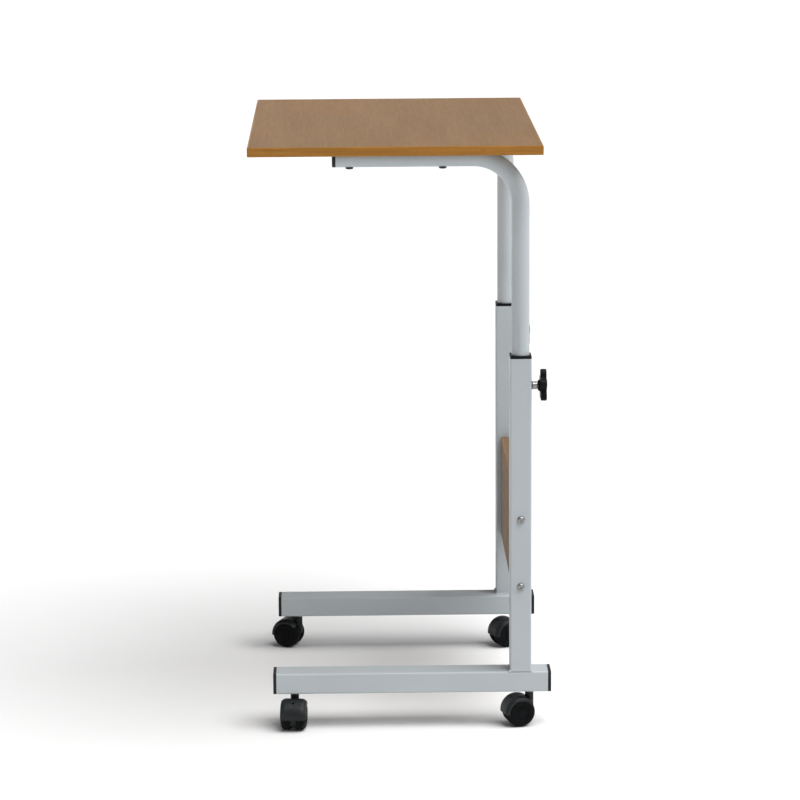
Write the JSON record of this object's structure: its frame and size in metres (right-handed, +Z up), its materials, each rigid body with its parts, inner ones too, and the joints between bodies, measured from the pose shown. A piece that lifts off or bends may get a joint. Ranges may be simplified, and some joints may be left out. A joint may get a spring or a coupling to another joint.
{
  "type": "overbed table",
  "caption": "Height-adjustable overbed table: wood-look top on bent arm tubes that clamp in square posts, with a lower panel and foot rails on casters.",
  "frame": {"origin": "on the floor, under the centre of the whole table's bounding box", "axes": "+Z up; +X from the free end of the top towards the posts and knobs; +Y to the right of a person behind the posts who faces the free end"},
  "size_m": [0.416, 0.6, 0.835],
  "materials": {
    "powder_coated_steel": "silver-grey powder coat, satin",
    "black_plastic": "matte",
    "wood_board": "beech-look laminate, satin",
    "wood_band": "wood-look edge band, satin",
    "caster_hood_plastic": "fine moulded texture",
    "caster_wheel_plastic": "satin",
    "knob_plastic": "satin",
    "dark_steel": "black oxide",
    "bright_steel": "zinc-plated"
  },
  "bodies": {
    "base": {"foot_rail_left": "powder_coated_steel", "foot_rail_right": "powder_coated_steel", "rail_cap_left_front": "black_plastic", "rail_cap_left_rear": "black_plastic", "rail_cap_right_front": "black_plastic", "rail_cap_right_rear": "black_plastic", "post_left": "powder_coated_steel", "post_right": "powder_coated_steel", "post_weld_left": "powder_coated_steel", "post_weld_right": "powder_coated_steel", "post_bush_left": "black_plastic", "post_bush_right": "black_plastic", "clamp_nut_left": "bright_steel", "clamp_nut_right": "bright_steel", "panel_board": "wood_board", "panel_edge_bands": "wood_band", "panel_bolts": "bright_steel", "panel_barrel_nuts": "bright_steel", "caster_nuts": "bright_steel", "caster_stem_left_front": "bright_steel", "caster_stem_left_rear": "bright_steel", "caster_stem_right_front": "bright_steel", "caster_stem_right_rear": "bright_steel"},
    "top": {"tabletop_board": "wood_board", "tabletop_band_front": "wood_band", "tabletop_band_rear": "wood_band", "tabletop_band_left": "wood_band", "tabletop_band_right": "wood_band", "arm_tube_left": "powder_coated_steel", "arm_tube_right": "powder_coated_steel", "arm_plug_left": "black_plastic", "arm_plug_right": "black_plastic", "arm_glide_left": "black_plastic", "arm_glide_right": "black_plastic", "arm_screws": "dark_steel", "tabletop_inserts": "bright_steel"},
    "knob_left": {"knob_left": "knob_plastic", "knob_stud_left": "bright_steel"},
    "knob_right": {"knob_right": "knob_plastic", "knob_stud_right": "bright_steel"},
    "caster_left_front": {"caster_hood_left_front": "caster_hood_plastic", "caster_axle_left_front": "bright_steel"},
    "wheel_left_front_a": {"caster_wheel_left_front_a": "caster_wheel_plastic"},
    "wheel_left_front_b": {"caster_wheel_left_front_b": "caster_wheel_plastic"},
    "caster_left_rear": {"caster_hood_left_rear": "caster_hood_plastic", "caster_axle_left_rear": "bright_steel"},
    "wheel_left_rear_a": {"caster_wheel_left_rear_a": "caster_wheel_plastic"},
    "wheel_left_rear_b": {"caster_wheel_left_rear_b": "caster_wheel_plastic"},
    "caster_right_front": {"caster_hood_right_front": "caster_hood_plastic", "caster_axle_right_front": "bright_steel"},
    "wheel_right_front_a": {"caster_wheel_right_front_a": "caster_wheel_plastic"},
    "wheel_right_front_b": {"caster_wheel_right_front_b": "caster_wheel_plastic"},
    "caster_right_rear": {"caster_hood_right_rear": "caster_hood_plastic", "caster_axle_right_rear": "bright_steel"},
    "wheel_right_rear_a": {"caster_wheel_right_rear_a": "caster_wheel_plastic"},
    "wheel_right_rear_b": {"caster_wheel_right_rear_b": "caster_wheel_plastic"}
  },
  "joints": [
    {"name": "height_slide", "type": "slide", "parent": "base", "child": "top", "axis": [0, 0, 1], "range_m": [-0.122, 0.04]},
    {"name": "knob_turn_left", "type": "hinge", "parent": "base", "child": "knob_left", "pos_m": [0.18, -0.217, 0.49], "axis": [1, 0, 0], "range_deg": [0, 720]},
    {"name": "knob_turn_right", "type": "hinge", "parent": "base", "child": "knob_right", "pos_m": [0.18, 0.217, 0.49], "axis": [1, 0, 0], "range_deg": [0, 720]},
    {"name": "swivel_left_front", "type": "hinge", "parent": "base", "child": "caster_left_front", "pos_m": [-0.154, -0.212, 0.048], "axis": [0, 0, 1], "continuous": true},
    {"name": "roll_left_front_a", "type": "hinge", "parent": "caster_left_front", "child": "wheel_left_front_a", "pos_m": [-0.15539, -0.22794, 0.021], "axis": [-0.9962, 0.0872, 0], "continuous": true},
    {"name": "roll_left_front_b", "type": "hinge", "parent": "caster_left_front", "child": "wheel_left_front_b", "pos_m": [-0.15539, -0.22794, 0.021], "axis": [-0.9962, 0.0872, 0], "continuous": true},
    {"name": "swivel_left_rear", "type": "hinge", "parent": "base", "child": "caster_left_rear", "pos_m": [0.178, -0.212, 0.048], "axis": [0, 0, 1], "continuous": true},
    {"name": "roll_left_rear_a", "type": "hinge", "parent": "caster_left_rear", "child": "wheel_left_rear_a", "pos_m": [0.16248, -0.21587, 0.021], "axis": [-0.2419, 0.9703, 0], "continuous": true},
    {"name": "roll_left_rear_b", "type": "hinge", "parent": "caster_left_rear", "child": "wheel_left_rear_b", "pos_m": [0.16248, -0.21587, 0.021], "axis": [-0.2419, 0.9703, 0], "continuous": true},
    {"name": "swivel_right_front", "type": "hinge", "parent": "base", "child": "caster_right_front", "pos_m": [-0.154, 0.212, 0.048], "axis": [0, 0, 1], "continuous": true},
    {"name": "roll_right_front_a", "type": "hinge", "parent": "caster_right_front", "child": "wheel_right_front_a", "pos_m": [-0.16903, 0.21747, 0.021], "axis": [0.342, 0.9397, 0], "continuous": true},
    {"name": "roll_right_front_b", "type": "hinge", "parent": "caster_right_front", "child": "wheel_right_front_b", "pos_m": [-0.16903, 0.21747, 0.021], "axis": [0.342, 0.9397, 0], "continuous": true},
    {"name": "swivel_right_rear", "type": "hinge", "parent": "base", "child": "caster_right_rear", "pos_m": [0.178, 0.212, 0.048], "axis": [0, 0, 1], "continuous": true},
    {"name": "roll_right_rear_a", "type": "hinge", "parent": "caster_right_rear", "child": "wheel_right_rear_a", "pos_m": [0.1635, 0.20524, 0.021], "axis": [-0.4226, 0.9063, 0], "continuous": true},
    {"name": "roll_right_rear_b", "type": "hinge", "parent": "caster_right_rear", "child": "wheel_right_rear_b", "pos_m": [0.1635, 0.20524, 0.021], "axis": [-0.4226, 0.9063, 0], "continuous": true}
  ]
}
